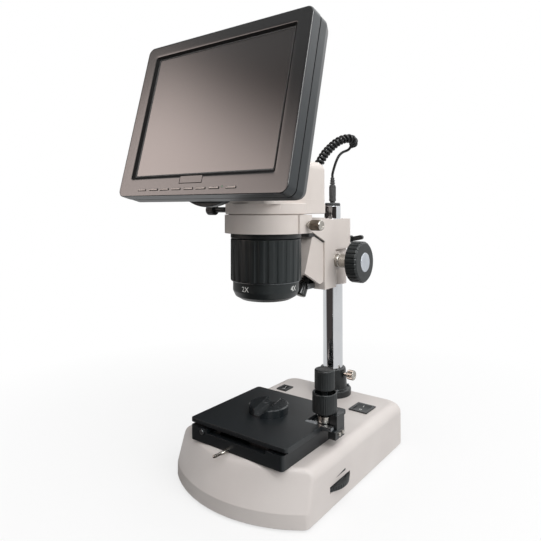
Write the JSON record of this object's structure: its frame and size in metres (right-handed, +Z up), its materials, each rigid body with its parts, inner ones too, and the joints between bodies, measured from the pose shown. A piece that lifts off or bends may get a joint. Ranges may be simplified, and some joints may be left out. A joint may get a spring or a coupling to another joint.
{
  "type": "digital microscope with a tilting screen",
  "caption": "Pillar microscope whose upright head carries a tilting flat screen over a turning lens drum, focusing arm, moving stage and lit box base.",
  "frame": {"origin": "on the table surface, under the middle of the base's width, 84 mm in front of the pillar's axis", "axes": "+X to the user's right, +Y from the front towards the pillar, +Z up"},
  "size_m": [0.2, 0.2706, 0.4397],
  "materials": {
    "cream_casting": "satin powder coat, cream-grey",
    "cream_plastic_base": "satin paint, cream-grey",
    "black_stage": "black anodised, fine satin",
    "black_casting": "black satin paint",
    "black_grip": "moulded grip, satin black",
    "drum_black": "black anodised drum",
    "bezel_black": "semi-gloss charcoal",
    "case_black": "fine-grained charcoal case",
    "screen_glass": "dark glossy panel, switched off",
    "smoked_window": "smoked infra-red window",
    "key_black": "small semi-gloss keys",
    "pillar_chrome": "mirror-bright chrome",
    "bright_steel": "turned and plated",
    "dark_steel": "blackened steel",
    "bronze_bush": "turned bronze",
    "rubber_black": "soft black rubber",
    "cord_black": "black cord jacket",
    "board_green": "circuit board with parts",
    "window_glass": "frosted light window",
    "lamp_metal": "black finned lamp",
    "lens_metal": "lens barrels",
    "inlet_black": "inlet moulding with metal pins",
    "switch_black": "glossy black rocker switch"
  },
  "bodies": {
    "base": {"base_housing": "cream_plastic_base", "bottom_plate": "dark_steel", "rubber_feet": "rubber_black", "body_screws": "bright_steel", "power_board": "board_green", "base_led": "lens_metal", "light_window": "window_glass", "power_inlet": "inlet_black", "switch_frames": "switch_black", "stage_bed": "black_stage", "pillar_flange": "black_casting", "pillar": "pillar_chrome", "socket_tube": "pillar_chrome", "socket_cap": "black_grip", "curly_cord": "cord_black", "cord_lead": "cord_black", "cord_plug": "cord_black"},
    "right_rocker": {"rocker_right": "switch_black"},
    "left_rocker": {"rocker_left": "switch_black"},
    "dimmer": {"dimmer_wheel": "black_grip"},
    "stage_screw": {"stage_lock_screw": "bright_steel"},
    "pillar_screw": {"collar_knob": "bright_steel"},
    "saddle": {"stage_saddle": "dark_steel", "knob_bracket": "black_stage"},
    "stage_plate": {"stage_top_plate": "black_stage", "x_rack": "dark_steel"},
    "upper_stage_knob": {"y_knob": "black_grip"},
    "lower_stage_knob": {"x_knob": "black_grip"},
    "disc": {"specimen_disc": "black_stage"},
    "bush": {"clamp_bush": "bronze_bush"},
    "arm": {"focus_block": "cream_casting", "shaft_bushings": "bright_steel"},
    "clamp_lever": {"lock_lever": "black_grip"},
    "focus_shaft": {"pinion_shaft": "bright_steel", "focus_knob_right": "black_grip", "focus_knob_left": "black_grip"},
    "carriage": {"focus_slide": "black_casting", "ring_holder": "cream_casting", "lamp_bracket": "black_casting"},
    "ring_screw": {"ring_thumbscrew": "bright_steel"},
    "lamp": {"oblique_lamp": "lamp_metal"},
    "head": {"head_housing": "cream_casting", "camera_module": "board_green", "cord_gland": "rubber_black", "hinge_bracket": "black_casting"},
    "head_screw": {"side_lock_knob": "black_grip"},
    "drum": {"magnification_drum": "drum_black", "objectives": "lens_metal"},
    "monitor": {"monitor_bezel": "bezel_black", "monitor_back": "case_black", "lcd_panel": "screen_glass", "ir_window": "smoked_window"},
    "button_1": {"key_1": "key_black"},
    "button_2": {"key_2": "key_black"},
    "button_3": {"key_3": "key_black"},
    "button_4": {"key_4": "key_black"},
    "button_5": {"key_5": "key_black"},
    "button_6": {"key_6": "key_black"},
    "button_7": {"key_7": "key_black"},
    "button_8": {"key_8": "key_black"}
  },
  "joints": [
    {"name": "right_switch_rock", "type": "hinge", "parent": "base", "child": "right_rocker", "pos_m": [0.052, 0.0588, 0.046], "axis": [1, 0, 0], "range_deg": [-12, 0]},
    {"name": "left_switch_rock", "type": "hinge", "parent": "base", "child": "left_rocker", "pos_m": [-0.0553, 0.06, 0.046], "axis": [1, 0, 0], "range_deg": [-12, 0]},
    {"name": "dimmer_turn", "type": "hinge", "parent": "base", "child": "dimmer", "pos_m": [0.0568, -0.043, 0.0195], "axis": [0, 0, 1], "range_deg": [0, 270]},
    {"name": "stage_screw_turn", "type": "hinge", "parent": "base", "child": "stage_screw", "pos_m": [-0.001, -0.116, 0.0516], "axis": [0, 1, 0], "range_deg": [0, 90]},
    {"name": "pillar_screw_turn", "type": "hinge", "parent": "base", "child": "pillar_screw", "pos_m": [0.025, 0.084, 0.075], "axis": [1, 0, 0], "range_deg": [0, 180]},
    {"name": "stage_front_back", "type": "slide", "parent": "base", "child": "saddle", "axis": [0, 1, 0], "range_m": [-0.012, 0.012]},
    {"name": "stage_side_to_side", "type": "slide", "parent": "saddle", "child": "stage_plate", "axis": [1, 0, 0], "range_m": [-0.008, 0.008]},
    {"name": "upper_stage_knob_turn", "type": "hinge", "parent": "saddle", "child": "upper_stage_knob", "pos_m": [0.0607, -0.0385, 0.11], "axis": [0, 0, 1], "range_deg": [-142, 142]},
    {"name": "lower_stage_knob_turn", "type": "hinge", "parent": "saddle", "child": "lower_stage_knob", "pos_m": [0.0607, -0.0385, 0.088], "axis": [0, 0, 1], "range_deg": [-95, 95]},
    {"name": "disc_turn", "type": "hinge", "parent": "stage_plate", "child": "disc", "pos_m": [0.0025, -0.051, 0.072], "axis": [0, 0, 1], "continuous": true},
    {"name": "arm_height", "type": "slide", "parent": "base", "child": "bush", "axis": [0, 0, 1], "range_m": [-0.044, 0], "deforming": ["curly_cord", "cord_lead"]},
    {"name": "arm_swing", "type": "hinge", "parent": "bush", "child": "arm", "pos_m": [0, 0.084, 0.223], "axis": [0, 0, 1], "range_deg": [-30, 30]},
    {"name": "clamp_lever_turn", "type": "hinge", "parent": "arm", "child": "clamp_lever", "pos_m": [0.01, 0.1015, 0.2369], "axis": [1, 0, 0], "range_deg": [0, 45]},
    {"name": "focus_knob_turn", "type": "hinge", "parent": "arm", "child": "focus_shaft", "pos_m": [0, 0.056, 0.2145], "axis": [1, 0, 0], "range_deg": [-149, 149]},
    {"name": "focus_travel", "type": "slide", "parent": "arm", "child": "carriage", "axis": [0, 0, 1], "range_m": [-0.018, 0.018]},
    {"name": "ring_screw_turn", "type": "hinge", "parent": "carriage", "child": "ring_screw", "pos_m": [0.053, -0.0425, 0.2588], "axis": [1, 0, 0], "range_deg": [0, 180]},
    {"name": "lamp_tilt", "type": "hinge", "parent": "carriage", "child": "lamp", "pos_m": [0, 0.0165, 0.188], "axis": [1, 0, 0], "range_deg": [-15, 15]},
    {"name": "head_turn", "type": "hinge", "parent": "carriage", "child": "head", "pos_m": [0, -0.052, 0.26], "axis": [0, 0, 1], "range_deg": [-60, 60]},
    {"name": "head_screw_turn", "type": "hinge", "parent": "head", "child": "head_screw", "pos_m": [-0.05, -0.074, 0.2738], "axis": [1, 0, 0], "range_deg": [0, 180]},
    {"name": "magnification_turn", "type": "hinge", "parent": "head", "child": "drum", "pos_m": [0, -0.052, 0.22], "axis": [0, 0, 1], "range_deg": [0, 90]},
    {"name": "monitor_tilt", "type": "hinge", "parent": "head", "child": "monitor", "pos_m": [0, -0.104, 0.3], "axis": [1, 0, 0], "range_deg": [-25, 25]},
    {"name": "button_1_press", "type": "slide", "parent": "monitor", "child": "button_1", "axis": [0, 0.9681, -0.2504], "range_m": [0, 0.0008], "stiffness_N_per_m": 400, "springref_m": -0.0002},
    {"name": "button_2_press", "type": "slide", "parent": "monitor", "child": "button_2", "axis": [0, 0.9681, -0.2504], "range_m": [0, 0.0008], "stiffness_N_per_m": 400, "springref_m": -0.0002},
    {"name": "button_3_press", "type": "slide", "parent": "monitor", "child": "button_3", "axis": [0, 0.9681, -0.2504], "range_m": [0, 0.0008], "stiffness_N_per_m": 400, "springref_m": -0.0002},
    {"name": "button_4_press", "type": "slide", "parent": "monitor", "child": "button_4", "axis": [0, 0.9681, -0.2504], "range_m": [0, 0.0008], "stiffness_N_per_m": 400, "springref_m": -0.0002},
    {"name": "button_5_press", "type": "slide", "parent": "monitor", "child": "button_5", "axis": [0, 0.9681, -0.2504], "range_m": [0, 0.0008], "stiffness_N_per_m": 400, "springref_m": -0.0002},
    {"name": "button_6_press", "type": "slide", "parent": "monitor", "child": "button_6", "axis": [0, 0.9681, -0.2504], "range_m": [0, 0.0008], "stiffness_N_per_m": 400, "springref_m": -0.0002},
    {"name": "button_7_press", "type": "slide", "parent": "monitor", "child": "button_7", "axis": [0, 0.9681, -0.2504], "range_m": [0, 0.0008], "stiffness_N_per_m": 400, "springref_m": -0.0002},
    {"name": "button_8_press", "type": "slide", "parent": "monitor", "child": "button_8", "axis": [0, 0.9681, -0.2504], "range_m": [0, 0.0008], "stiffness_N_per_m": 400, "springref_m": -0.0002}
  ],
  "couplings": [
    {"joint": "focus_knob_turn", "follows": "focus_travel", "rad_per_m": -142.86},
    {"joint": "upper_stage_knob_turn", "follows": "stage_front_back", "rad_per_m": 204.08},
    {"joint": "lower_stage_knob_turn", "follows": "stage_side_to_side", "rad_per_m": 204.08}
  ]
}
